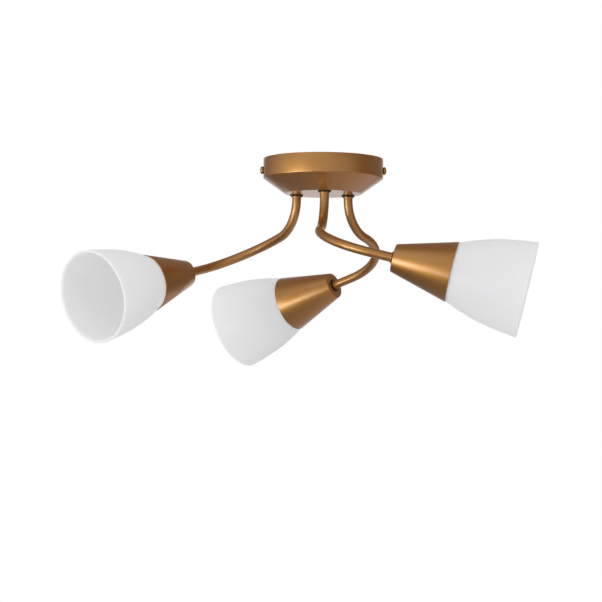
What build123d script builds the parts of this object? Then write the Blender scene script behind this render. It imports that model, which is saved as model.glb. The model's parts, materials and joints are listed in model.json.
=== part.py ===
from build123d import *
import math
import os

# Semi flush ceiling light: a round pan against the ceiling and three bent arms,
# each ending in a cone cup with a flared glass shade.
# Millimetres. Origin: centre of the ceiling plane. +Z points up into the ceiling.

# Canopy pan
canopy_diameter = 120.0
canopy_height = 34.9
band_height = 19.5
disc_diameter = 76.4
sheet = 1.0
band_edge_radius = 2.0
disc_edge_radius = 1.6

# Ceiling strap inside the pan
strap_width = 24.0
strap_thickness = 1.5
strap_end_gap = 1.4
tab_width = 14.0
tab_depth = 17.0
ceiling_screw_spacing = 70.0
ceiling_slot_width = 4.5
ceiling_slot_length = 12.0

# Side screws
side_screw_depth = 11.4
side_screw_diameter = 4.0
side_screw_length = 9.0
side_head_diameter = 8.0
side_head_height = 2.6
side_head_edge = 0.6
side_slot_width = 1.0
side_slot_depth = 0.8
side_washer_diameter = 7.4
side_washer_thickness = 0.7

# Terminal block, carried by the strap
pole_count = 3
pole_pitch = 9.6
block_length = 17.0
block_height = 13.0
block_end_wall = 4.6
block_corner_radius = 1.0
tube_drop = 7.0
tube_diameter = 5.6
tube_length = 14.0
wire_hole_diameter = 3.4
clamp_screw_diameter = 3.0
clamp_screw_pitch = 8.0
clamp_screw_length = 4.4
clamp_slot_width = 0.6
clamp_slot_depth = 0.6
clamp_well_diameter = 4.2
clamp_well_depth = 0.9
block_screw_diameter = 3.0
block_screw_head_diameter = 5.2
block_screw_head_height = 1.6
block_slot_width = 0.8
block_slot_depth = 0.7

# Earth point on the strap
earth_offset = 21.5
earth_screw_diameter = 4.0
earth_screw_head_diameter = 7.6
earth_screw_head_height = 2.6
earth_slot_width = 1.0
earth_slot_depth = 1.1
earth_washer_diameter = 9.0
earth_washer_thickness = 1.6
screw_end_cover = 0.2

# Arms: seats on a circle in the canopy disc, with a margin from each lock washer to the disc's edge
seat_margin = 1.7
arm_circle_turn = 2.7
arm_diameter = 9.0
arm_bore_diameter = 5.6
spigot_diameter = 8.0
base_spigot_length = 9.0
tip_spigot_length = 14.0
stem_length = 3.8
elbow_radius = 38.2
sweep_radius = 58.2
tip_length = 21.0

# Each tube is bent by hand, so its angles differ by a few degrees from the next one's.
# seat: place on the circle. heading: which way the elbow leans, counted from straight outward.
# elbow and sweep: how far each bend turns. roll: tilt of the sweep's plane about the tube.
arms = {
    "right": {"seat": -90.0, "heading": -10.6, "elbow": 76.4, "sweep": 89.1, "roll": -103.7},
    "left": {"seat": 150.0, "heading": -26.5, "elbow": 73.5, "sweep": 97.0, "roll": -106.1},
    "back": {"seat": 30.0, "heading": 17.8, "elbow": 73.8, "sweep": 92.5, "roll": -110.0},
}

# Washers, collars and nuts on the arms
seat_washer_diameter = 13.2
seat_washer_thickness = 1.0
collar_diameter = 10.6
collar_height = 1.4
nut_across_flats = 12.0
nut_thickness = 3.0
lock_washer_diameter = 13.0
lock_washer_thickness = 0.8

# Cone cup
cup_end_diameter = 26.7
cup_mouth_diameter = 58.2
cup_length = 57.0
cup_wall = 0.8
cup_edge_radius = 1.2

# Lampholder for a small screw base, screwed onto the arm's end
holder_cap_diameter = 24.0
holder_cap_length = 12.0
holder_cap_edge = 2.5
holder_bore_depth = 9.5
holder_body_diameter = 27.0
holder_flange_diameter = 35.0
holder_flange_thickness = 2.0
holder_thread_diameter = 28.0
holder_thread_length = 12.0
chamber_diameter = 18.0
chamber_length = 12.0
lead_hole_diameter = 3.0
lead_hole_spacing = 10.0
lamp_bore_diameter = 14.0
lamp_shell_wall = 0.6
lamp_shell_length = 20.0
lamp_shell_setback = 1.5
lamp_contact_diameter = 5.0
lamp_contact_height = 3.0
shade_ring_diameter = 38.0
shade_ring_height = 4.5
shade_ring_notches = 24
shade_ring_notch_diameter = 1.8

# Glass shade
glass_wall = 2.6
glass_floor_depth = 11.0
glass_floor_thickness = 3.0
glass_floor_edge = 1.5
glass_hole_diameter = 29.2
glass_shoulder_diameter = 77.0
glass_shoulder_reach = 29.0
glass_mouth_diameter = 92.1
glass_length = 72.4
glass_neck_flare = 23.5
glass_mouth_flare = 8.0
glass_rim_radius = 1.0

# Clearances
swivel_clearance = 0.05
swivel_play = 0.10
thread_gap = 0.05
hole_gap = 0.25
glass_gap = 0.15
holder_gap = 0.20

# Places that follow from the sizes above
inner_radius = canopy_diameter / 2 - sheet
strap_end = inner_radius - strap_end_gap
arm_circle_diameter = disc_diameter - lock_washer_diameter - 2 * seat_margin
shoulder = swivel_play + seat_washer_thickness
cup_lean = math.atan2((cup_mouth_diameter - cup_end_diameter) / 2, cup_length)
cup_nut_top = cup_wall + lock_washer_thickness + nut_thickness
holder_bottom = cup_nut_top + holder_gap
glass_floor = cup_length - glass_floor_depth
holder_top = glass_floor + holder_thread_length
shell_bottom = holder_top - lamp_shell_setback - lamp_shell_length
shell_diameter = lamp_bore_diameter + 2 * lamp_shell_wall
recess_bottom = shell_bottom - lamp_contact_height


def disc(diameter, height, bottom=0.0):
    """A round solid that stands on the height 'bottom'."""
    return Pos(0, 0, bottom) * Cylinder(diameter / 2, height, align=(Align.CENTER, Align.CENTER, Align.MIN))


def ring(outer_diameter, inner_diameter, height, bottom=0.0):
    """A round solid with a hole right through it."""
    return disc(outer_diameter, height, bottom) - disc(inner_diameter, height, bottom)


def spun(points):
    """A solid of revolution about Z from a closed outline of (radius, height) corners."""
    return revolve(Plane.XZ * make_face(Polyline(*points, close=True)), Axis.Z)


def round_edges(solid, radius, diameter, height):
    """Round the one circular edge of a turned solid that has this diameter and height."""
    chosen = [
        edge
        for edge in solid.edges().filter_by(GeomType.CIRCLE)
        if abs(edge.radius * 2 - diameter) < 0.01 and abs(edge.center().Z - height) < 0.01
    ]
    return fillet(chosen, radius)


def hex_nut(bore, bottom):
    """A six-sided nut with its lower face at the height 'bottom'."""
    outline = RegularPolygon(nut_across_flats / 2, 6, major_radius=False)
    return Pos(0, 0, bottom) * extrude(outline, nut_thickness) - disc(bore, nut_thickness, bottom)


def dome(diameter, edge, height, bottom):
    """A screw head: a short upright edge under a spherical cap."""
    half = diameter / 2
    cap = height - edge
    ball = (half**2 + cap**2) / (2 * cap)
    mid_angle = math.asin(half / ball) / 2
    shoulder_height = bottom + edge
    top = bottom + height
    middle = (ball * math.sin(mid_angle), top - ball + ball * math.cos(mid_angle))
    outline = Polyline((0, top), (0, bottom), (half, bottom), (half, shoulder_height))
    outline += ThreePointArc((half, shoulder_height), middle, (0, top))
    return revolve(Plane.XZ * make_face(outline), Axis.Z)


def screw_slot(length, width, depth, face):
    """A straight driver slot that reaches 'depth' into a screw from its end face."""
    return Pos(0, 0, face) * Box(length, width, 2 * depth)


# ---- Canopy group ----


def side_place(side):
    """Place on the band's outside where a side screw goes in, with its +Z pointing outward."""
    return Plane(origin=(side * canopy_diameter / 2, 0, -side_screw_depth), z_dir=(side, 0, 0)).location


def seat_place(name):
    """Place on the disc's outer face where an arm is seated, with its +X along the elbow's lean."""
    angle = math.radians(arms[name]["seat"] + arm_circle_turn)
    lean = angle + math.radians(arms[name]["heading"])
    reach = arm_circle_diameter / 2
    centre = (reach * math.cos(angle), reach * math.sin(angle), -canopy_height)
    return Plane(origin=centre, x_dir=(math.cos(lean), math.sin(lean), 0), z_dir=(0, 0, 1)).location


def canopy_shell():
    lean = math.atan2((canopy_diameter - disc_diameter) / 2, canopy_height - band_height)
    inner_band = -band_height + sheet * math.tan(lean / 2)
    inner_disc = disc_diameter / 2 - sheet * math.tan((math.pi / 2 - lean) / 2)
    outside = spun([
        (0, 0),
        (canopy_diameter / 2, 0),
        (canopy_diameter / 2, -band_height),
        (disc_diameter / 2, -canopy_height),
        (0, -canopy_height),
    ])
    inside = spun([
        (0, 0),
        (inner_radius, 0),
        (inner_radius, inner_band),
        (inner_disc, sheet - canopy_height),
        (0, sheet - canopy_height),
    ])
    outside = round_edges(outside, band_edge_radius, canopy_diameter, -band_height)
    outside = round_edges(outside, disc_edge_radius, disc_diameter, -canopy_height)
    inside = round_edges(inside, band_edge_radius - sheet, 2 * inner_radius, inner_band)
    inside = round_edges(inside, disc_edge_radius - sheet, 2 * inner_disc, sheet - canopy_height)
    pan = outside - inside
    for name in arms:
        pan -= seat_place(name) * disc(spigot_diameter + 2 * swivel_clearance, sheet)
    for side in (-1, 1):
        pan -= side_place(side) * disc(side_screw_diameter + 2 * hole_gap, 2 * sheet, -2 * sheet)
    return pan


def ceiling_bracket():
    strap = Pos(0, 0, -strap_thickness / 2) * Box(2 * strap_end, strap_width, strap_thickness)
    strap = strap & disc(2 * strap_end, strap_thickness, -strap_thickness)
    for side in (-1, 1):
        tab_centre = side * (strap_end - strap_thickness / 2)
        tab = Pos(tab_centre, 0, -tab_depth / 2) * Box(strap_thickness, tab_width, tab_depth)
        strap += tab & disc(2 * strap_end, tab_depth, -tab_depth)
        thread = disc(side_screw_diameter + 2 * thread_gap, side_screw_length, -side_screw_length)
        strap -= side_place(side) * thread
        slot = extrude(SlotOverall(ceiling_slot_length, ceiling_slot_width), strap_thickness)
        strap -= Pos(side * ceiling_screw_spacing / 2, 0, -strap_thickness) * slot
    for place in block_screw_places():
        strap -= place * disc(block_screw_diameter + 2 * thread_gap, strap_thickness, -strap_thickness)
    earth_hole = disc(earth_screw_diameter + 2 * thread_gap, strap_thickness, -strap_thickness)
    return strap - Pos(earth_offset, 0, 0) * earth_hole


def side_screw():
    shank_top = side_washer_thickness
    screw = dome(side_head_diameter, side_head_edge, side_head_height, shank_top)
    screw += disc(side_screw_diameter, side_screw_length + shank_top, -side_screw_length)
    face = shank_top + side_head_height
    return screw - screw_slot(side_head_diameter, side_slot_width, side_slot_depth, face)


def canopy_screws():
    return Part() + [side_place(side) * side_screw() for side in (-1, 1)]


def canopy_screw_washers():
    washer = ring(side_washer_diameter, side_screw_diameter + 2 * thread_gap, side_washer_thickness)
    return Part() + [side_place(side) * washer for side in (-1, 1)]


def pole_offsets():
    return [(index - (pole_count - 1) / 2) * pole_pitch for index in range(pole_count)]


def block_screw_places():
    """Between the first two poles and between the last two."""
    offsets = pole_offsets()
    middles = [(offsets[0] + offsets[1]) / 2, (offsets[-1] + offsets[-2]) / 2]
    return [Pos(x, 0, 0) for x in middles]


def clamp_places():
    """One place for each clamp screw, on the wire's axis."""
    tube_axis = -strap_thickness - tube_drop
    rows = (-clamp_screw_pitch / 2, clamp_screw_pitch / 2)
    return [Pos(x, y, tube_axis) for x in pole_offsets() for y in rows]


def pole_place(x):
    """Place on a pole's wire axis, with its +Z along the wire."""
    return Plane(origin=(x, 0, -strap_thickness - tube_drop), z_dir=(0, 1, 0)).location


def terminal_block():
    width = (pole_count - 1) * pole_pitch + 2 * block_end_wall
    bottom = -strap_thickness - block_height
    block = Pos(0, 0, -strap_thickness - block_height / 2) * Box(width, block_length, block_height)
    block = fillet(block.edges().filter_by(Axis.Z), block_corner_radius)
    for x in pole_offsets():
        block -= pole_place(x) * disc(tube_diameter + 2 * thread_gap, block_length, -block_length / 2)
    for place in clamp_places():
        block -= place * disc(clamp_well_diameter, block_height, -block_height)
    for place in block_screw_places():
        head_room = block_screw_head_height + hole_gap
        block -= place * disc(block_screw_diameter + hole_gap, block_height, bottom)
        block -= place * disc(block_screw_head_diameter + hole_gap, head_room, bottom)
    return block


def terminal_tubes():
    tube = ring(tube_diameter, wire_hole_diameter, tube_length, -tube_length / 2)
    tubes = Part() + [pole_place(x) * tube for x in pole_offsets()]
    for place in clamp_places():
        tubes -= place * disc(clamp_screw_diameter + 2 * thread_gap, tube_diameter, -tube_diameter)
    return tubes


def terminal_screws():
    top = clamp_well_depth - wire_hole_diameter / 2
    face = top - clamp_screw_length
    screw = disc(clamp_screw_diameter, clamp_screw_length, face)
    screw -= screw_slot(clamp_screw_diameter, clamp_slot_width, clamp_slot_depth, face)
    return Part() + [place * screw for place in clamp_places()]


def block_screws():
    head_bottom = -strap_thickness - block_height + hole_gap
    head_top = head_bottom + block_screw_head_height
    head = disc(block_screw_head_diameter, block_screw_head_height, head_bottom)
    shank = disc(block_screw_diameter, -screw_end_cover - head_top, head_top)
    slot = screw_slot(block_screw_head_diameter, block_slot_width, block_slot_depth, head_bottom)
    return Part() + [place * (head + shank - slot) for place in block_screw_places()]


def earth_washer():
    bottom = -strap_thickness - earth_washer_thickness
    bore = earth_screw_diameter + 2 * thread_gap
    return Pos(earth_offset, 0, 0) * ring(earth_washer_diameter, bore, earth_washer_thickness, bottom)


def earth_screw():
    head_top = -strap_thickness - earth_washer_thickness
    head_bottom = head_top - earth_screw_head_height
    head = disc(earth_screw_head_diameter, earth_screw_head_height, head_bottom)
    shank = disc(earth_screw_diameter, -screw_end_cover - head_top, head_top)
    slot = screw_slot(earth_screw_head_diameter, earth_slot_width, earth_slot_depth, head_bottom)
    return Pos(earth_offset, 0, 0) * (head + shank - slot)


# ---- Arms ----


def bend(point, along, toward, radius, angle):
    """An arc that leaves 'point' along the tube and turns it towards 'toward'."""
    def on_arc(turn):
        return point + along * (radius * math.sin(turn)) + toward * (radius * (1 - math.cos(turn)))

    arc = ThreePointArc(point, on_arc(angle / 2), on_arc(angle))
    new_along = along * math.cos(angle) + toward * math.sin(angle)
    new_toward = toward * math.cos(angle) - along * math.sin(angle)
    return arc, on_arc(angle), new_along, new_toward


def arm_route(name, top, beyond):
    """The tube's centre line from the height 'top' to 'beyond' its tip shoulder, and the tip's place."""
    arm = arms[name]
    elbow_turn = math.radians(arm["elbow"])
    roll = math.radians(arm["roll"])
    sweep_turn = math.radians(arm["sweep"])
    down = Vector(0, 0, -1)
    stem_end = down * stem_length
    elbow, point, along, toward = bend(stem_end, down, Vector(1, 0, 0), elbow_radius, elbow_turn)
    toward = toward * math.cos(roll) + along.cross(toward) * math.sin(roll)
    sweep_arc, point, along, toward = bend(point, along, toward, sweep_radius, sweep_turn)
    tip = point + along * tip_length
    stem = Line(Vector(0, 0, top), stem_end)
    shank = Line(point, tip + along * beyond)
    route = Wire([*stem.edges(), *elbow.edges(), *sweep_arc.edges(), *shank.edges()])
    return route, Plane(origin=tip, z_dir=along).location


def swept(diameter, top, route):
    """A round bar that starts at the height 'top' and follows the route."""
    return sweep(Plane(origin=(0, 0, top), z_dir=(0, 0, -1)) * Circle(diameter / 2), path=route)


def arm_tube(name):
    route, tip = arm_route(name, -shoulder, 0)
    tube = swept(arm_diameter, -shoulder, route)
    tube += disc(spigot_diameter, base_spigot_length, -shoulder)
    tube += tip * disc(spigot_diameter, tip_spigot_length)
    top = base_spigot_length - shoulder
    bore_route = arm_route(name, top, tip_spigot_length)[0]
    return tube - swept(arm_bore_diameter, top, bore_route)


def base_pieces(name):
    """What lies around the arm's upper end, in the seat's frame."""
    bore = spigot_diameter + 2 * thread_gap
    collar_bore = arm_diameter + 2 * thread_gap
    collar_bottom = -shoulder - collar_height
    lock_bottom = sheet + swivel_play
    nut_bottom = lock_bottom + lock_washer_thickness
    return {
        "arm_tube": arm_tube(name),
        "base_washer": ring(seat_washer_diameter, bore, seat_washer_thickness, -shoulder),
        "base_collar": ring(collar_diameter, collar_bore, collar_height, collar_bottom),
        "lock_washer": ring(lock_washer_diameter, bore, lock_washer_thickness, lock_bottom),
        "lock_nut": hex_nut(bore, nut_bottom),
    }


# ---- Heads, in a frame with z = 0 at the cup's end face and +Z along the shade ----


def cup_outer_radius(height):
    return cup_end_diameter / 2 + height * math.tan(cup_lean)


def cup_inner_radius(height):
    return cup_outer_radius(height) - cup_wall / math.cos(cup_lean)


def cup():
    hole = spigot_diameter / 2 + hole_gap
    shell = spun([
        (hole, 0),
        (cup_end_diameter / 2, 0),
        (cup_mouth_diameter / 2, cup_length),
        (cup_inner_radius(cup_length), cup_length),
        (cup_inner_radius(cup_wall), cup_wall),
        (hole, cup_wall),
    ])
    shell = round_edges(shell, cup_edge_radius, cup_end_diameter, 0)
    return round_edges(shell, cup_edge_radius - cup_wall, 2 * cup_inner_radius(cup_wall), cup_wall)


def lampholder_body():
    body_bottom = holder_bottom + holder_cap_length
    flange_bottom = glass_floor - holder_flange_thickness
    cap = disc(holder_cap_diameter, holder_cap_length, holder_bottom)
    body = round_edges(cap, holder_cap_edge, holder_cap_diameter, holder_bottom)
    body += disc(holder_body_diameter, flange_bottom - body_bottom, body_bottom)
    body += disc(holder_flange_diameter, holder_flange_thickness, flange_bottom)
    body += disc(holder_thread_diameter, holder_thread_length, glass_floor)
    body -= disc(spigot_diameter + 2 * thread_gap, holder_bore_depth, holder_bottom)
    chamber_bottom = holder_bottom + holder_bore_depth
    body -= disc(chamber_diameter, chamber_length, chamber_bottom)
    body -= disc(shell_diameter + 2 * thread_gap, holder_top - recess_bottom, recess_bottom)
    floor_span = recess_bottom - chamber_bottom
    for side in (-1, 1):
        body -= Pos(side * lead_hole_spacing / 2, 0, 0) * disc(lead_hole_diameter, floor_span, chamber_bottom)
    return body


def shade_ring():
    bottom = glass_floor + glass_floor_thickness
    body = ring(shade_ring_diameter, holder_thread_diameter + 2 * thread_gap, shade_ring_height, bottom)
    notch = Pos(shade_ring_diameter / 2, 0, 0) * disc(shade_ring_notch_diameter, shade_ring_height, bottom)
    for index in range(shade_ring_notches):
        body -= Rot(0, 0, 360 * index / shade_ring_notches) * notch
    return body


def glass_line(inset):
    """The shade's flared side from the cup's mouth to the rim, moved inward by 'inset'."""
    neck = math.radians(glass_neck_flare)
    mouth = math.radians(glass_mouth_flare)
    points = [
        (cup_inner_radius(cup_length) - glass_gap - inset, cup_length),
        (glass_shoulder_diameter / 2 - inset, cup_length + glass_shoulder_reach),
        (glass_mouth_diameter / 2 - inset, cup_length + glass_length),
    ]
    ends = [(math.sin(neck), math.cos(neck)), (math.sin(mouth), math.cos(mouth))]
    return points, Spline(*points, tangents=ends)


def glass_shade():
    outer_points, outer_side = glass_line(0)
    inner_points, inner_side = glass_line(glass_wall)
    neck_radius = cup_inner_radius(glass_floor) - glass_gap
    floor_top = glass_floor + glass_floor_thickness
    hole = glass_hole_diameter / 2
    neck = Polyline(
        inner_points[0],
        (neck_radius + glass_floor_thickness * math.tan(cup_lean) - glass_wall, floor_top),
        (hole, floor_top),
        (hole, glass_floor),
        (neck_radius, glass_floor),
        outer_points[0],
    )
    outline = neck + outer_side + Line(outer_points[-1], inner_points[-1]) + inner_side
    shade = revolve(Plane.XZ * make_face(outline), Axis.Z)
    rim_height = cup_length + glass_length
    shade = round_edges(shade, glass_rim_radius, glass_mouth_diameter, rim_height)
    shade = round_edges(shade, glass_rim_radius, glass_mouth_diameter - 2 * glass_wall, rim_height)
    return round_edges(shade, glass_floor_edge, 2 * neck_radius, glass_floor)


def head_pieces():
    bore = spigot_diameter + 2 * thread_gap
    return {
        "cup": cup(),
        "cup_lock_washer": ring(lock_washer_diameter, bore, lock_washer_thickness, cup_wall),
        "cup_nut": hex_nut(bore, cup_wall + lock_washer_thickness),
        "lampholder_body": lampholder_body(),
        "lamp_shell": ring(shell_diameter, lamp_bore_diameter, lamp_shell_length, shell_bottom),
        "lamp_contact": disc(lamp_contact_diameter, lamp_contact_height, recess_bottom),
        "shade_ring": shade_ring(),
        "glass_shade": glass_shade(),
    }


def tip_pieces():
    """What lies between the tube and the cup, in a frame with z = 0 at the tube's shoulder."""
    bore = spigot_diameter + 2 * thread_gap
    collar_bore = arm_diameter + 2 * thread_gap
    return {
        "tip_collar": ring(collar_diameter, collar_bore, collar_height, -collar_height),
        "cup_washer": ring(seat_washer_diameter, bore, seat_washer_thickness),
    }


nodes = {
    "canopy_shell": canopy_shell(),
    "ceiling_bracket": ceiling_bracket(),
    "canopy_screws": canopy_screws(),
    "canopy_screw_washers": canopy_screw_washers(),
    "terminal_block": terminal_block(),
    "terminal_tubes": terminal_tubes(),
    "terminal_screws": terminal_screws(),
    "block_screws": block_screws(),
    "earth_washer": earth_washer(),
    "earth_screw": earth_screw(),
}
head = head_pieces()
tip_rings = tip_pieces()
for arm_name in arms:
    seat = seat_place(arm_name)
    tip_place = seat * arm_route(arm_name, 0, 0)[1]
    cup_place = tip_place * Pos(0, 0, seat_washer_thickness)
    for piece, solid in base_pieces(arm_name).items():
        nodes[f"{piece}_{arm_name}"] = seat * solid
    for piece, solid in tip_rings.items():
        nodes[f"{piece}_{arm_name}"] = tip_place * solid
    for piece, solid in head.items():
        nodes[f"{piece}_{arm_name}"] = cup_place * solid

os.makedirs("parts", exist_ok=True)
for node_name, solid in nodes.items():
    export_step(solid, f"parts/{node_name}.step")
print(len(nodes), "nodes written")
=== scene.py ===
import bmesh
import bpy
import json
import math
from mathutils import Matrix, Vector


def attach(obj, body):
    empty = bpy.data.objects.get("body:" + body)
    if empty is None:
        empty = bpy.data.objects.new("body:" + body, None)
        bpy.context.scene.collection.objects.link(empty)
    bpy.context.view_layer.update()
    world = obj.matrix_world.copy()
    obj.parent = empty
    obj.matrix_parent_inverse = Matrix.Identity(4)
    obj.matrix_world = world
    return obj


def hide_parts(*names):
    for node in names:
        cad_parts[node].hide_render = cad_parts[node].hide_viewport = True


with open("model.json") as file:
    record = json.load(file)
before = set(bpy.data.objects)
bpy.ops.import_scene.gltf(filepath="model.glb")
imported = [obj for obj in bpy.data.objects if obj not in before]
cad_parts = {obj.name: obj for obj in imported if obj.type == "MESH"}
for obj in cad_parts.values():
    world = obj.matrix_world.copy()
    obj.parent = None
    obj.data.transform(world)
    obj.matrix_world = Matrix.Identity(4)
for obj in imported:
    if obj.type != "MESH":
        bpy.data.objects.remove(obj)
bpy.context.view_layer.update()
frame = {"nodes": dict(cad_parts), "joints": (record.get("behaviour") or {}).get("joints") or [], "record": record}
mm = 0.001
tiny = 0.01 * mm  # two heights closer than this count as one
straight = 0.9  # a face whose normal is straighter up or down than this lies flat
corner = math.radians(60)  # edges sharper than this are rounded
print("frame loaded")


# small helpers, each one a step that would be done by hand

def startPiece(addPrimitive, name, **settings):
    bpy.ops.object.select_all(action="DESELECT")
    addPrimitive(**settings)
    piece = bpy.context.active_object
    piece.name = name
    piece.data.name = name
    return piece


def editPiece(piece, mode="FACE"):
    bpy.context.view_layer.objects.active = piece
    bpy.ops.object.mode_set(mode="EDIT")
    bpy.ops.mesh.select_mode(type=mode)


def pick(piece, kind, rule):
    # selects only the faces, edges or verts that the rule accepts
    mesh = bmesh.from_edit_mesh(piece.data)
    bpy.ops.mesh.select_all(action="DESELECT")
    for item in getattr(mesh, kind):
        item.select = rule(item)
    mesh.select_flush(True)
    bmesh.update_edit_mesh(piece.data)


def finishEdit():
    bpy.ops.object.mode_set(mode="OBJECT")


def applyModifier(piece, kind, **settings):
    modifier = piece.modifiers.new(kind.title(), kind)
    for key, value in settings.items():
        setattr(modifier, key, value)
    bpy.context.view_layer.objects.active = piece
    bpy.ops.object.modifier_apply(modifier=modifier.name)


def smooth(piece, degrees=32):
    bpy.ops.object.select_all(action="DESELECT")
    piece.select_set(True)
    bpy.context.view_layer.objects.active = piece
    bpy.ops.object.shade_smooth_by_angle(angle=math.radians(degrees))


def settle(piece, place):
    # puts a piece where it belongs and keeps that place in its mesh
    piece.matrix_world = place
    bpy.ops.object.select_all(action="DESELECT")
    piece.select_set(True)
    bpy.context.view_layer.objects.active = piece
    bpy.ops.object.transform_apply(location=True, rotation=True, scale=True)


def copyPiece(piece, name):
    bpy.ops.object.select_all(action="DESELECT")
    piece.select_set(True)
    bpy.context.view_layer.objects.active = piece
    bpy.ops.object.duplicate(linked=False)
    twin = bpy.context.active_object
    twin.name = name
    twin.data.name = name
    return twin


def dress(piece, finish, body, slot, *replaced):
    piece.data.materials.clear()
    piece.data.materials.append(finish)
    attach(piece, body)
    if replaced:
        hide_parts(*replaced)


def turned(name, profile, around):
    # a circle pulled along the profile's (radius, height) points, ring by ring, and closed at the end
    radius, height = profile[0]
    piece = startPiece(bpy.ops.mesh.primitive_circle_add, name, vertices=around, radius=radius,
                       fill_type="NOTHING", location=(0, 0, height))
    bpy.ops.object.transform_apply(location=True)
    editPiece(piece, "EDGE")
    bpy.ops.mesh.select_all(action="SELECT")
    for nextRadius, nextHeight in profile[1:]:
        rise = (0, 0, nextHeight - height)
        bpy.ops.mesh.extrude_edges_move(TRANSFORM_OT_translate={"value": rise})
        scale = nextRadius / radius
        bpy.ops.transform.resize(value=(scale, scale, 1), center_override=(0, 0, nextHeight))
        radius, height = nextRadius, nextHeight
    pick(piece, "edges", lambda edge: edge.is_boundary)
    bpy.ops.mesh.bridge_edge_loops()
    bpy.ops.mesh.select_all(action="SELECT")
    bpy.ops.mesh.normals_make_consistent(inside=False)
    finishEdit()
    return piece


def newFinish(name, **values):
    finish = bpy.data.materials.new(name)
    finish.use_nodes = True
    shader = finish.node_tree.nodes["Principled BSDF"]
    for key, value in values.items():
        shader.inputs[key.replace("_", " ")].default_value = value
    return finish, finish.node_tree, shader


def addNode(tree, kind, settings=None, **values):
    node = tree.nodes.new(kind)
    for key, value in (settings or {}).items():
        setattr(node, key, value)
    for key, value in values.items():
        node.inputs[key.replace("_", " ")].default_value = value
    return node


def objectPoints(tree, turn=None, stretch=(1, 1, 1)):
    # object coordinates, turned so that Z runs along the piece, then stretched
    points = addNode(tree, "ShaderNodeTexCoord").outputs["Object"]
    if turn is not None:
        mapping = addNode(tree, "ShaderNodeMapping", {"vector_type": "TEXTURE"},
                          Location=turn.translation, Rotation=turn.to_euler())
        tree.links.new(points, mapping.inputs["Vector"])
        points = mapping.outputs["Vector"]
    mapping = addNode(tree, "ShaderNodeMapping", {"vector_type": "POINT"}, Scale=stretch)
    tree.links.new(points, mapping.inputs["Vector"])
    return mapping.outputs["Vector"]


def noise(tree, points, scale, detail=3, roughness=0.55):
    node = addNode(tree, "ShaderNodeTexNoise", Scale=scale, Detail=detail, Roughness=roughness)
    tree.links.new(points, node.inputs["Vector"])
    return node.outputs["Fac"]


def spread(tree, fac, low, high, fromLow=0.3, fromHigh=0.7):
    # the noise nodes stay near the middle, so their 0.3 to 0.7 is stretched to the whole range asked for
    node = addNode(tree, "ShaderNodeMapRange", From_Min=fromLow, From_Max=fromHigh,
                   To_Min=low, To_Max=high)
    tree.links.new(fac, node.inputs["Value"])
    return node.outputs["Result"]


def blendColours(tree, fac, first, second):
    node = addNode(tree, "ShaderNodeMix", {"data_type": "RGBA"})
    # the colour sockets of this node come after its number and vector ones
    node.inputs[6].default_value = (*first, 1)
    node.inputs[7].default_value = (*second, 1)
    tree.links.new(fac, node.inputs[0])
    return node.outputs[2]


def addBump(tree, shader, height, strength, distance):
    bump = addNode(tree, "ShaderNodeBump", Strength=strength, Distance=distance)
    tree.links.new(height, bump.inputs["Height"])
    tree.links.new(bump.outputs["Normal"], shader.inputs["Normal"])


bronze = {
    "lightColour": (0.600, 0.298, 0.054), "darkColour": (0.520, 0.243, 0.038),
    "roughness": (0.38, 0.48), "coat": 1.0, "coatRoughness": 0.22, "coatIor": 1.72,
    "cloudScale": 38, "grainScale": 2600, "grain": 0.08, "grainDepth": 0.04 * mm,
    "lineStretch": (60, 60, 2600), "tubeStretch": (240, 240, 240),
}


def bronzeFinish(name, turn=None, stretch=bronze["lineStretch"]):
    finish, tree, shader = newFinish(name, Metallic=1.0, Coat_Weight=bronze["coat"],
                                     Coat_Roughness=bronze["coatRoughness"], Coat_IOR=bronze["coatIor"])
    points = objectPoints(tree, turn)
    clouds = noise(tree, points, bronze["cloudScale"], 4)
    colour = blendColours(tree, clouds, bronze["darkColour"], bronze["lightColour"])
    tree.links.new(colour, shader.inputs["Base Color"])
    lines = noise(tree, objectPoints(tree, turn, stretch), 1, 2)
    tree.links.new(spread(tree, lines, *bronze["roughness"]), shader.inputs["Roughness"])
    grain = noise(tree, points, bronze["grainScale"], 2)
    addBump(tree, shader, grain, bronze["grain"], bronze["grainDepth"])
    return finish


smallParts = {"cloudScale": 55, "grainScale": 900, "grain": 0.08, "grainDepth": 0.04 * mm}


def plainFinish(name, colour, shade, roughness, metallic=0.0):
    finish, tree, shader = newFinish(name, Metallic=metallic)
    points = objectPoints(tree)
    clouds = noise(tree, points, smallParts["cloudScale"], 4)
    tree.links.new(blendColours(tree, clouds, shade, colour), shader.inputs["Base Color"])
    tree.links.new(spread(tree, clouds, *roughness), shader.inputs["Roughness"])
    grain = noise(tree, points, smallParts["grainScale"], 2)
    addBump(tree, shader, grain, smallParts["grain"], smallParts["grainDepth"])
    return finish


opal = {
    "lightColour": (0.895, 0.895, 0.905), "darkColour": (0.865, 0.865, 0.875), "roughness": (0.42, 0.52),
    "scatter": 10 * mm, "scatterColours": (1.0, 0.97, 0.93), "ior": 1.45,
    "cloudScale": 16, "satinScale": 260, "grainScale": 1400, "grain": 0.05, "grainDepth": 0.03 * mm,
}


def opalFinish():
    finish, tree, shader = newFinish(
        "satinOpalGlass", Subsurface_Weight=1.0, Subsurface_Scale=opal["scatter"], IOR=opal["ior"],
        Subsurface_Radius=opal["scatterColours"])
    shader.subsurface_method = "RANDOM_WALK"
    points = objectPoints(tree)
    clouds = noise(tree, points, opal["cloudScale"], 3)
    colour = blendColours(tree, clouds, opal["darkColour"], opal["lightColour"])
    tree.links.new(colour, shader.inputs["Base Color"])
    satin = noise(tree, points, opal["satinScale"], 3)
    tree.links.new(spread(tree, satin, *opal["roughness"]), shader.inputs["Roughness"])
    grain = noise(tree, points, opal["grainScale"], 2)
    addBump(tree, shader, grain, opal["grain"], opal["grainDepth"])
    return finish


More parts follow.
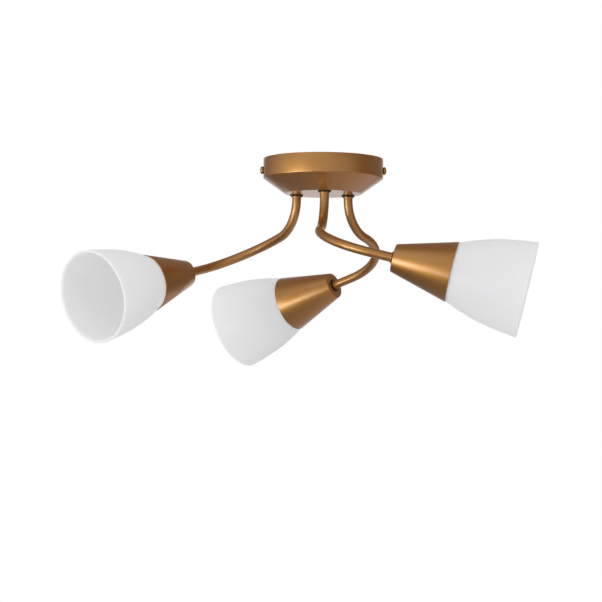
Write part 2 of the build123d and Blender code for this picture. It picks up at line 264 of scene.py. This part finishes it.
# colour, shade, roughness from and to, and how metallic
blackSteel = plainFinish("blackSteel", (0.062, 0.040, 0.024), (0.036, 0.024, 0.015), (0.35, 0.50), 0.6)
zincSteel = plainFinish("zincPlatedSteel", (0.62, 0.63, 0.62), (0.50, 0.50, 0.47), (0.25, 0.42), 1.0)
brass = plainFinish("plainBrass", (0.72, 0.53, 0.22), (0.60, 0.42, 0.16), (0.24, 0.40), 1.0)
whitePlastic = plainFinish("whiteNylon", (0.78, 0.78, 0.75), (0.72, 0.72, 0.69), (0.40, 0.50))
holderPlastic = plainFinish("holderPlastic", (0.74, 0.73, 0.69), (0.69, 0.68, 0.64), (0.38, 0.48))
opalGlass = opalFinish()
canopyBronze = bronzeFinish("canopyBronze")
tubeBronze = bronzeFinish("tubeBronze", stretch=bronze["tubeStretch"])  # drawn tube has no turning lines
print("finishes made")


canopy = {
    "radius": 60 * mm, "height": 34.9 * mm, "bandHeight": 19.5 * mm, "discRadius": 38.2 * mm,
    "sheet": 1.0 * mm, "bandEdge": 1.04 * mm, "discEdge": 0.51 * mm, "rimEdge": 0.25 * mm,
    "around": 192, "armHole": 4.05 * mm, "screwHole": 2.25 * mm, "screwDepth": 11.4 * mm,
    "drillLength": 8.0 * mm, "drillAround": 48,
}
seats = {joint["child"].removesuffix("_arm"): Vector(joint["pos_m"]) for joint in frame["joints"]}


def atHeight(height):
    # a rule for edges that lie flat at one height
    return lambda edge: all(abs(vert.co.z - height) < tiny for vert in edge.verts)


def cutHole(piece, radius, place):
    cutter = startPiece(bpy.ops.mesh.primitive_cylinder_add, "cutter", vertices=canopy["drillAround"],
                        radius=radius, depth=canopy["drillLength"])
    settle(cutter, place)
    applyModifier(piece, "BOOLEAN", object=cutter, operation="DIFFERENCE", solver="EXACT")
    bpy.data.objects.remove(cutter)


def makeCanopyPan():
    pan = startPiece(bpy.ops.mesh.primitive_cylinder_add, "canopyPan", vertices=canopy["around"],
                     radius=canopy["radius"], depth=canopy["bandHeight"],
                     location=(0, 0, -canopy["bandHeight"] / 2))
    bpy.ops.object.transform_apply(location=True)
    editPiece(pan)
    pick(pan, "faces", lambda face: face.normal.z > straight)
    bpy.ops.mesh.delete(type="FACE")  # the side against the ceiling is open
    pick(pan, "faces", lambda face: face.normal.z < -straight)
    bpy.ops.mesh.extrude_region_move(
        TRANSFORM_OT_translate={"value": (0, 0, canopy["bandHeight"] - canopy["height"])})
    scale = canopy["discRadius"] / canopy["radius"]
    bpy.ops.transform.resize(value=(scale, scale, 1), center_override=(0, 0, -canopy["height"]))
    bpy.ops.mesh.select_mode(type="EDGE")
    rolled = ((canopy["bandHeight"], canopy["bandEdge"]), (canopy["height"], canopy["discEdge"]))
    for depth, offset in rolled:
        pick(pan, "edges", atHeight(-depth))
        bpy.ops.mesh.bevel(offset=offset, segments=6, affect="EDGES")
    bpy.ops.mesh.select_all(action="SELECT")
    bpy.ops.mesh.normals_make_consistent(inside=False)
    finishEdit()
    applyModifier(pan, "SOLIDIFY", thickness=canopy["sheet"], offset=-1, use_even_offset=True)
    editPiece(pan, "EDGE")
    pick(pan, "edges", atHeight(0))
    bpy.ops.mesh.bevel(offset=canopy["rimEdge"], segments=2, affect="EDGES")
    finishEdit()
    for seat in seats.values():
        cutHole(pan, canopy["armHole"], Matrix.Translation(seat))
    for side in (-1, 1):
        place = Matrix.Translation((side * canopy["radius"], 0, -canopy["screwDepth"]))
        cutHole(pan, canopy["screwHole"], place @ Matrix.Rotation(math.radians(90), 4, "Y"))
    smooth(pan)
    dress(pan, canopyBronze, "canopy", "bronze_paint", "canopy_shell")


makeCanopyPan()
print("canopy pan made")


sideScrew = {
    "headRadius": 4.0 * mm, "headHeight": 2.6 * mm, "edge": 0.6 * mm,
    "slotWidth": 1.0 * mm, "slotDepth": 0.8 * mm, "shankRadius": 2.0 * mm, "shankLength": 9.0 * mm,
    "washerRadius": 3.7 * mm, "washerBore": 2.05 * mm, "washerHeight": 0.7 * mm, "washerEdge": 0.12 * mm,
    "around": 48,
}
ringAround = 64


def makeRing(name, outer, inner, bottom, height, edge):
    top = bottom + height
    ring = turned(name, [(outer, bottom), (outer, top), (inner, top), (inner, bottom)], ringAround)
    applyModifier(ring, "BEVEL", width=edge, segments=2, limit_method="ANGLE", angle_limit=corner)
    smooth(ring, 40)
    return ring


def makeSideScrew(side):
    place = Matrix.Translation((side * canopy["radius"], 0, -canopy["screwDepth"]))
    place = place @ Matrix.Rotation(math.radians(90 * side), 4, "Y")
    word = "right" if side > 0 else "left"
    washer = makeRing("sideWasher_" + word, sideScrew["washerRadius"], sideScrew["washerBore"],
                      0, sideScrew["washerHeight"], sideScrew["washerEdge"])
    settle(washer, place)
    base = sideScrew["washerHeight"]
    cap = sideScrew["headHeight"] - sideScrew["edge"]
    # the domed head is the flattened upper half of a ball, on a short upright edge
    head = startPiece(bpy.ops.mesh.primitive_uv_sphere_add, "sideScrew_" + word,
                      segments=sideScrew["around"], ring_count=sideScrew["around"] // 2,
                      radius=sideScrew["headRadius"])
    editPiece(head)
    bpy.ops.mesh.select_all(action="SELECT")
    bpy.ops.mesh.bisect(plane_co=(0, 0, 0), plane_no=(0, 0, 1), use_fill=False, clear_inner=True)
    bpy.ops.mesh.select_all(action="SELECT")
    flatness = cap / sideScrew["headRadius"]
    bpy.ops.transform.resize(value=(1, 1, flatness), center_override=(0, 0, 0))
    bpy.ops.transform.translate(value=(0, 0, base + sideScrew["edge"]))
    bpy.ops.mesh.select_mode(type="EDGE")
    pick(head, "edges", lambda edge: edge.is_boundary)
    bpy.ops.mesh.extrude_edges_move(TRANSFORM_OT_translate={"value": (0, 0, -sideScrew["edge"])})
    shankScale = sideScrew["shankRadius"] / sideScrew["headRadius"]
    bpy.ops.mesh.extrude_edges_move(TRANSFORM_OT_translate={"value": (0, 0, 0)})
    bpy.ops.transform.resize(value=(shankScale, shankScale, 1), center_override=(0, 0, base))
    shank = (0, 0, -sideScrew["shankLength"] - base)
    bpy.ops.mesh.extrude_edges_move(TRANSFORM_OT_translate={"value": shank})
    bpy.ops.mesh.edge_face_add()
    bpy.ops.mesh.select_all(action="SELECT")
    bpy.ops.mesh.normals_make_consistent(inside=False)
    finishEdit()
    slot = startPiece(bpy.ops.mesh.primitive_cube_add, "cutter", size=1)
    slotSize = (4 * sideScrew["headRadius"], sideScrew["slotWidth"], 2 * sideScrew["slotDepth"], 1)
    slotPlace = Matrix.Translation((0, 0, base + sideScrew["headHeight"]))
    settle(slot, slotPlace @ Matrix.Diagonal(slotSize))
    applyModifier(head, "BOOLEAN", object=slot, operation="DIFFERENCE", solver="EXACT")
    bpy.data.objects.remove(slot)
    smooth(head, 40)
    settle(head, place)
    return head, washer


screws = [makeSideScrew(side) for side in (-1, 1)]
for screwHead, screwWasher in screws:
    dress(screwHead, canopyBronze, "canopy", "bronze_paint", "canopy_screws")
    dress(screwWasher, blackSteel, "canopy", "black_steel", "canopy_screw_washers")
print("side screws made")


arm = {
    "radius": 4.5 * mm, "wall": 1.6 * mm, "spigotRadius": 4.0 * mm, "spigotLength": 9.0 * mm,
    "shoulder": 1.1 * mm, "stem": 3.8 * mm, "elbowRadius": 38.2 * mm, "sweepRadius": 58.2 * mm,
    "tipLength": 21.0 * mm, "tipSpigot": 14.0 * mm, "around": 48, "degreesPerStep": 2.5,
}
# degrees: where the elbow heads, how far it bends, how far the sweep bends, and the turn between them
bends = {
    "right": {"heading": -10.6, "elbow": 76.4, "sweep": 89.1, "roll": -103.7},
    "left": {"heading": -26.5, "elbow": 73.5, "sweep": 97.0, "roll": -106.1},
    "back": {"heading": 17.8, "elbow": 73.8, "sweep": 92.5, "roll": -110.0},
}


def spinBend(point, along, toward, radius, degrees):
    # turns the open end of the tube about the bend's centre; gives the new end and directions
    centre = point + toward * radius
    axis = along.cross(toward)
    steps = round(degrees / arm["degreesPerStep"])
    bpy.ops.mesh.spin(steps=steps, angle=-math.radians(degrees), center=centre, axis=axis)
    turn = Matrix.Rotation(math.radians(degrees), 3, axis)
    return centre + turn @ (point - centre), turn @ along, turn @ toward


def pull(distance, along):
    bpy.ops.mesh.extrude_edges_move(TRANSFORM_OT_translate={"value": along * distance})


def step(point, radius, newRadius):
    # a square shoulder: the same place, another radius
    bpy.ops.mesh.extrude_edges_move(TRANSFORM_OT_translate={"value": (0, 0, 0)})
    scale = newRadius / radius
    bpy.ops.transform.resize(value=(scale, scale, scale), center_override=point)


def makeArmTube(name):
    seat, bend = seats[name], bends[name]
    top = seat + Vector((0, 0, arm["spigotLength"] - arm["shoulder"]))
    tube = startPiece(bpy.ops.mesh.primitive_circle_add, "armTube_" + name, vertices=arm["around"],
                      radius=arm["spigotRadius"], fill_type="NOTHING", location=top)
    bpy.ops.object.transform_apply(location=True)
    editPiece(tube, "EDGE")
    bpy.ops.mesh.select_all(action="SELECT")
    down = Vector((0, 0, -1))
    pull(arm["spigotLength"], down)
    step(seat + down * arm["shoulder"], arm["spigotRadius"], arm["radius"])
    pull(arm["stem"] - arm["shoulder"], down)
    lean = math.atan2(seat.y, seat.x) + math.radians(bend["heading"])
    toward = Vector((math.cos(lean), math.sin(lean), 0))
    point = seat + down * arm["stem"]
    point, along, toward = spinBend(point, down, toward, arm["elbowRadius"], bend["elbow"])
    toward = Matrix.Rotation(math.radians(bend["roll"]), 3, along) @ toward
    point, along, toward = spinBend(point, along, toward, arm["sweepRadius"], bend["sweep"])
    pull(arm["tipLength"], along)
    tip = point + along * arm["tipLength"]
    step(tip, arm["radius"], arm["spigotRadius"])
    pull(arm["tipSpigot"], along)
    bpy.ops.mesh.select_all(action="SELECT")
    bpy.ops.mesh.remove_doubles(threshold=0.1 * tiny)
    bpy.ops.mesh.normals_make_consistent(inside=False)
    finishEdit()
    applyModifier(tube, "SOLIDIFY", thickness=arm["wall"], offset=-1)
    smooth(tube)
    # a place for the head, with Z along the tube's end
    side = along.cross(Vector((0, 0, 1))).normalized()
    turn = Matrix((side, along.cross(side), along)).transposed().to_4x4()
    return tube, Matrix.Translation(tip) @ turn


tipPlaces = {}
bronzes = {}
for name in seats:
    tube, tipPlaces[name] = makeArmTube(name)
    bronzes[name] = bronzeFinish("headBronze_" + name, tipPlaces[name])
    dress(tube, tubeBronze, name + "_arm", "bronze_paint", "arm_tube_" + name)
print("arms made")


washer = {"radius": 6.6 * mm, "height": 1.0 * mm, "bore": 4.05 * mm, "edge": 0.18 * mm}
collar = {"radius": 5.3 * mm, "height": 1.4 * mm, "bore": 4.55 * mm, "edge": 0.30 * mm}
for name, seat in seats.items():
    seatPlace = Matrix.Translation(seat - Vector((0, 0, arm["shoulder"])))
    for end, place in (("base", seatPlace), ("cup", tipPlaces[name])):
        disc = makeRing(f"{end}Washer_{name}", washer["radius"], washer["bore"], 0,
                        washer["height"], washer["edge"])
        settle(disc, place)
        dress(disc, blackSteel, name + "_arm", "black_steel", f"{end}_washer_{name}")
    for end, place in (("base", seatPlace), ("tip", tipPlaces[name])):
        band = makeRing(f"{end}Collar_{name}", collar["radius"], collar["bore"], -collar["height"],
                        collar["height"], collar["edge"])
        settle(band, place)
        dress(band, bronzes[name], name + "_arm", "bronze_paint", f"{end}_collar_{name}")
print("washers and collars made")


cup = {
    "endRadius": 13.35 * mm, "mouthRadius": 29.1 * mm, "length": 57 * mm, "wall": 0.8 * mm,
    "hole": 4.25 * mm, "endEdge": 0.91 * mm, "lipEdge": 0.2 * mm, "around": 160,
}


def makeCup():
    piece = startPiece(bpy.ops.mesh.primitive_cone_add, "cup", vertices=cup["around"],
                       radius1=cup["endRadius"], radius2=cup["mouthRadius"], depth=cup["length"],
                       location=(0, 0, cup["length"] / 2))
    bpy.ops.object.transform_apply(location=True)
    editPiece(piece)
    pick(piece, "faces", lambda face: face.normal.z > straight)
    bpy.ops.mesh.delete(type="FACE")
    pick(piece, "faces", lambda face: face.normal.z < -straight)
    bpy.ops.mesh.inset(thickness=cup["endRadius"] - cup["hole"], depth=0)
    bpy.ops.mesh.delete(type="FACE")
    bpy.ops.mesh.select_mode(type="EDGE")
    # the end's outer edge, not the edge of its hole
    pick(piece, "edges", lambda edge: atHeight(0)(edge) and all(
        vert.co.length > cup["endRadius"] - 10 * tiny for vert in edge.verts))
    bpy.ops.mesh.bevel(offset=cup["endEdge"], segments=6, affect="EDGES")
    bpy.ops.mesh.select_all(action="SELECT")
    bpy.ops.mesh.normals_make_consistent(inside=False)
    finishEdit()
    applyModifier(piece, "SOLIDIFY", thickness=cup["wall"], offset=-1, use_even_offset=True)
    applyModifier(piece, "BEVEL", width=cup["lipEdge"], segments=2, limit_method="ANGLE",
                  angle_limit=corner)
    smooth(piece)
    return piece


glass = {
    "floor": 46 * mm, "floorThickness": 3 * mm, "hole": 14.6 * mm, "wall": 2.6 * mm, "gap": 0.15 * mm,
    "shoulderRadius": 38.5 * mm, "shoulderReach": 29 * mm, "mouthRadius": 45.97 * mm,
    "length": 72.32 * mm, "neckFlare": 23.5, "mouthFlare": 8.0, "rings": 14, "rimEdge": 1.0 * mm,
    "around": 144,
}
cupLean = math.atan2(cup["mouthRadius"] - cup["endRadius"], cup["length"])


def neckRadius(height):
    # the glass follows the inside of the cup with a small gap
    outside = cup["endRadius"] + height * math.tan(cupLean)
    return outside - cup["wall"] / math.cos(cupLean) - glass["gap"]


def flareRadius(share):
    # the free side of the shade, from the cup's mouth at 0 to the rim at 1, through the shoulder
    def plain(t):
        start, end = neckRadius(cup["length"]), glass["mouthRadius"]
        startSlope = glass["length"] * math.tan(math.radians(glass["neckFlare"]))
        endSlope = glass["length"] * math.tan(math.radians(glass["mouthFlare"]))
        return (start * (2 * t**3 - 3 * t**2 + 1) + startSlope * (t**3 - 2 * t**2 + t)
                + end * (3 * t**2 - 2 * t**3) + endSlope * (t**3 - t**2))

    shoulder = glass["shoulderReach"] / glass["length"]
    fullness = (glass["shoulderRadius"] - plain(shoulder)) / (shoulder * (1 - shoulder)) ** 2
    return plain(share) + fullness * (share * (1 - share)) ** 2


def makeShade():
    floorTop = glass["floor"] + glass["floorThickness"]
    shares = [index / glass["rings"] for index in range(glass["rings"] + 1)]
    outside = [(flareRadius(share), cup["length"] + share * glass["length"]) for share in shares]
    inside = [(radius - glass["wall"], height) for radius, height in reversed(outside)]
    profile = [
        (glass["hole"], floorTop), (glass["hole"], glass["floor"]),
        (neckRadius(glass["floor"]), glass["floor"]), *outside, *inside,
        (neckRadius(floorTop) - glass["wall"], floorTop),
    ]
    piece = turned("shade", profile, glass["around"])
    applyModifier(piece, "BEVEL", width=glass["rimEdge"], segments=4, limit_method="ANGLE",
                  angle_limit=math.radians(50))
    smooth(piece, 50)
    return piece


# one cup and one shade, copied to the three places
headPieces = {
    "coneCup": (makeCup(), "bronze_paint"),
    "glassShade": (makeShade(), "opal_glass"),
}
nodeNames = {"coneCup": "cup_", "glassShade": "glass_shade_"}
for name in seats:
    headPlace = tipPlaces[name] @ Matrix.Translation((0, 0, washer["height"]))
    for word, (original, slot) in headPieces.items():
        twin = copyPiece(original, f"{word}_{name}")
        settle(twin, headPlace)
        finish = bronzes[name] if slot == "bronze_paint" else opalGlass
        dress(twin, finish, name + "_arm", slot, nodeNames[word] + name)
for original, slot in headPieces.values():
    bpy.data.objects.remove(original)
print("heads made")


# hidden and inner pieces keep their CAD shape, with finishes of their own
finishOfSlot = {
    "bronze_paint": canopyBronze, "black_steel": blackSteel, "zinc_steel": zincSteel, "brass": brass,
    "white_plastic": whitePlastic, "holder_plastic": holderPlastic, "opal_glass": opalGlass,
}
for part in frame["record"]["subparts"]:
    node = frame["nodes"][part["node"]]
    node.data.materials.clear()
    node.data.materials.append(finishOfSlot[part["material_slot"]])
print("inner pieces finished")


studio = {
    "floorHeight": -2.40, "floorSize": 10.0, "floorEdge": (2.4, 5.0),
    "paleColour": (0.92, 0.92, 0.93), "floorRoughness": 0.6, "floorWhiteness": 0.88,
    # floorInMetal, floorFade and floorTint set the painted glow that metal reflects from the floor, lighter to the
    # right
    "floorInMetal": (0.12, 0.54), "floorFade": (-2.3, 1.5), "floorTint": (1.0, 0.86, 0.90, 1),
    "roomLight": 0.80, "dimSide": 0.22, "upGlow": 0.04, "upEdge": (-0.3, 1.0),
    "dimTint": (1.0, 0.76, 0.70, 1), "backGlow": 0.62, "backEdge": (0.86, 0.99),
    "coolWhite": (0.94, 0.96, 1.0, 1), "lookAt": (0, 0, -0.08),
    "cardPlace": (-0.645, -0.630, -0.430), "cardGlow": 2.2, "cardEdge": (32, 14),
    "haloPlace": (-0.791, -0.554, -0.259), "haloGlow": 0.42, "haloEdge": (85, 25),
    "rightPlace": (0.454, -0.889, 0.06), "rightGlow": 0.33, "rightEdge": (48, 12),
}


def addUp(tree, first, second):
    node = addNode(tree, "ShaderNodeMath", {"operation": "ADD"})
    for socket, value in zip(node.inputs, (first, second)):
        if isinstance(value, float):
            socket.default_value = value
        else:
            tree.links.new(value, socket)
    return node.outputs["Value"]


def makeFloor():
    floor = startPiece(bpy.ops.mesh.primitive_plane_add, "studioFloor", size=studio["floorSize"],
                       location=(0, 0, studio["floorHeight"]))
    bpy.ops.object.transform_apply(location=True)
    finish, tree, shader = newFinish("paleFloor", Roughness=studio["floorRoughness"])
    shader.inputs["Base Color"].default_value = (*studio["paleColour"], 1)
    white = addNode(tree, "ShaderNodeEmission", Strength=1.0)
    rays = addNode(tree, "ShaderNodeLightPath")
    ground = addNode(tree, "ShaderNodeTexCoord").outputs["Object"]
    reach = addNode(tree, "ShaderNodeVectorMath", {"operation": "LENGTH"})
    tree.links.new(ground, reach.inputs[0])
    # near the light the floor still shows its shadow, and further out it fades to plain white
    whiteness = spread(tree, reach.outputs["Value"], studio["floorWhiteness"], 1.0, *studio["floorEdge"])
    share = addNode(tree, "ShaderNodeMath", {"operation": "MULTIPLY"})
    tree.links.new(whiteness, share.inputs[1])
    blend = addNode(tree, "ShaderNodeMixShader")
    direct = addUp(tree, rays.outputs["Is Camera Ray"], rays.outputs["Is Transmission Ray"])
    tree.links.new(direct, share.inputs[0])
    tree.links.new(share.outputs["Value"], blend.inputs["Fac"])
    tree.links.new(shader.outputs["BSDF"], blend.inputs[1])
    tree.links.new(white.outputs["Emission"], blend.inputs[2])
    points = addNode(tree, "ShaderNodeSeparateXYZ")
    tree.links.new(ground, points.inputs["Vector"])
    # in reflections the floor is a painted glow, dim and tinted too, and it grows lighter to the right
    dim = addNode(tree, "ShaderNodeEmission", Color=studio["floorTint"])
    strength = spread(tree, points.outputs["X"], *studio["floorInMetal"], *studio["floorFade"])
    tree.links.new(strength, dim.inputs["Strength"])
    mirror = addNode(tree, "ShaderNodeMixShader")
    tree.links.new(rays.outputs["Is Glossy Ray"], mirror.inputs["Fac"])
    tree.links.new(blend.outputs["Shader"], mirror.inputs[1])
    tree.links.new(dim.outputs["Emission"], mirror.inputs[2])
    tree.links.new(mirror.outputs["Shader"], tree.nodes["Material Output"].inputs["Surface"])
    floor.data.materials.append(finish)


def glow(tree, value, fromLow, fromHigh, strength):
    node = addNode(tree, "ShaderNodeMapRange", {"interpolation_type": "SMOOTHSTEP"}, From_Min=fromLow,
                   From_Max=fromHigh, To_Min=0, To_Max=strength)
    tree.links.new(value, node.inputs["Value"])
    return node.outputs["Result"]


def spot(tree, direction, place, edge, strength):
    # a soft round patch of light around one direction, from its outer to its inner edge in degrees
    near = addNode(tree, "ShaderNodeVectorMath", {"operation": "DOT_PRODUCT"})
    near.inputs[1].default_value = place
    tree.links.new(direction, near.inputs[0])
    outer, inner = (math.cos(math.radians(degrees)) for degrees in edge)
    return glow(tree, near.outputs["Value"], outer, inner, strength)


def makeRoom():
    # white to the camera and through glass, and even light on the object; metal doesn't reflect that white
    # but a dimmer, warmer room of its own, with a pale backdrop and three soft patches, which deepens it
    world = bpy.data.worlds.new("studio")
    bpy.context.scene.world = world
    world.use_nodes = True
    tree = world.node_tree
    even = tree.nodes["Background"]
    even.inputs["Color"].default_value = (1, 1, 1, 1)
    even.inputs["Strength"].default_value = studio["roomLight"]
    white = addNode(tree, "ShaderNodeBackground", Color=(1, 1, 1, 1), Strength=1.0)
    reflected = addNode(tree, "ShaderNodeBackground", Color=studio["coolWhite"])
    way = addNode(tree, "ShaderNodeSeparateXYZ")
    direction = addNode(tree, "ShaderNodeTexCoord").outputs["Generated"]
    tree.links.new(direction, way.inputs["Vector"])
    parts = [spot(tree, direction, studio[word + "Place"], studio[word + "Edge"], studio[word + "Glow"])
             for word in ("card", "halo", "right")]
    parts.append(glow(tree, way.outputs["Y"], *studio["backEdge"], studio["backGlow"]))
    strength = 0.0
    for part in parts:
        strength = addUp(tree, part, strength)
    tree.links.new(strength, reflected.inputs["Strength"])
    dim = addNode(tree, "ShaderNodeBackground", Color=studio["dimTint"])
    up = glow(tree, way.outputs["Z"], *studio["upEdge"], studio["upGlow"])
    tree.links.new(addUp(tree, up, studio["dimSide"]), dim.inputs["Strength"])
    both = addNode(tree, "ShaderNodeAddShader")
    tree.links.new(reflected.outputs["Background"], both.inputs[0])
    tree.links.new(dim.outputs["Background"], both.inputs[1])
    rays = addNode(tree, "ShaderNodeLightPath")
    mirror = addNode(tree, "ShaderNodeMixShader")
    seen = addNode(tree, "ShaderNodeMixShader")
    tree.links.new(rays.outputs["Is Glossy Ray"], mirror.inputs["Fac"])
    tree.links.new(even.outputs["Background"], mirror.inputs[1])
    tree.links.new(both.outputs["Shader"], mirror.inputs[2])
    direct = addUp(tree, rays.outputs["Is Camera Ray"], rays.outputs["Is Transmission Ray"])
    tree.links.new(direct, seen.inputs["Fac"])
    tree.links.new(mirror.outputs["Shader"], seen.inputs[1])
    tree.links.new(white.outputs["Background"], seen.inputs[2])
    tree.links.new(seen.outputs["Shader"], tree.nodes["World Output"].inputs["Surface"])


makeFloor()
makeRoom()

softLights = [
    {"name": "keyLeft", "place": (-1.98, -1.39, -0.73), "size": (1.5, 1.2), "power": 10.5},
    {"name": "topFront", "place": (-0.55, -1.50, 1.80), "size": (2.4, 2.0), "power": 4.5},
]
for light in softLights:
    bpy.ops.object.select_all(action="DESELECT")
    bpy.ops.object.light_add(type="AREA", location=light["place"])
    lamp = bpy.context.active_object
    lamp.name = light["name"]
    lamp.data.shape = "RECTANGLE"
    lamp.data.size, lamp.data.size_y = light["size"]
    lamp.data.energy = light["power"]
    aim = Vector(studio["lookAt"]) - Vector(light["place"])
    lamp.rotation_euler = aim.to_track_quat("-Z", "Y").to_euler()

camera = {
    "place": (0, -2.1, -0.2605), "yaw": -0.58, "pitch": 3.22, "roll": 0.46,
    "lens": 126.0, "film": 36, "farthest": 100,
}
bpy.ops.object.camera_add()
view = bpy.context.active_object
view.name = "photoView"
view.data.lens = camera["lens"]
view.data.sensor_width = camera["film"]
view.data.clip_end = camera["farthest"]
view.matrix_world = (Matrix.Translation(camera["place"])
                     @ Matrix.Rotation(math.radians(-camera["yaw"]), 4, "Z")
                     @ Matrix.Rotation(math.radians(90 + camera["pitch"]), 4, "X")
                     @ Matrix.Rotation(math.radians(camera["roll"]), 4, "Z"))
bpy.context.scene.camera = view
bpy.context.scene.view_settings.view_transform = "Standard"
print("studio and camera made")
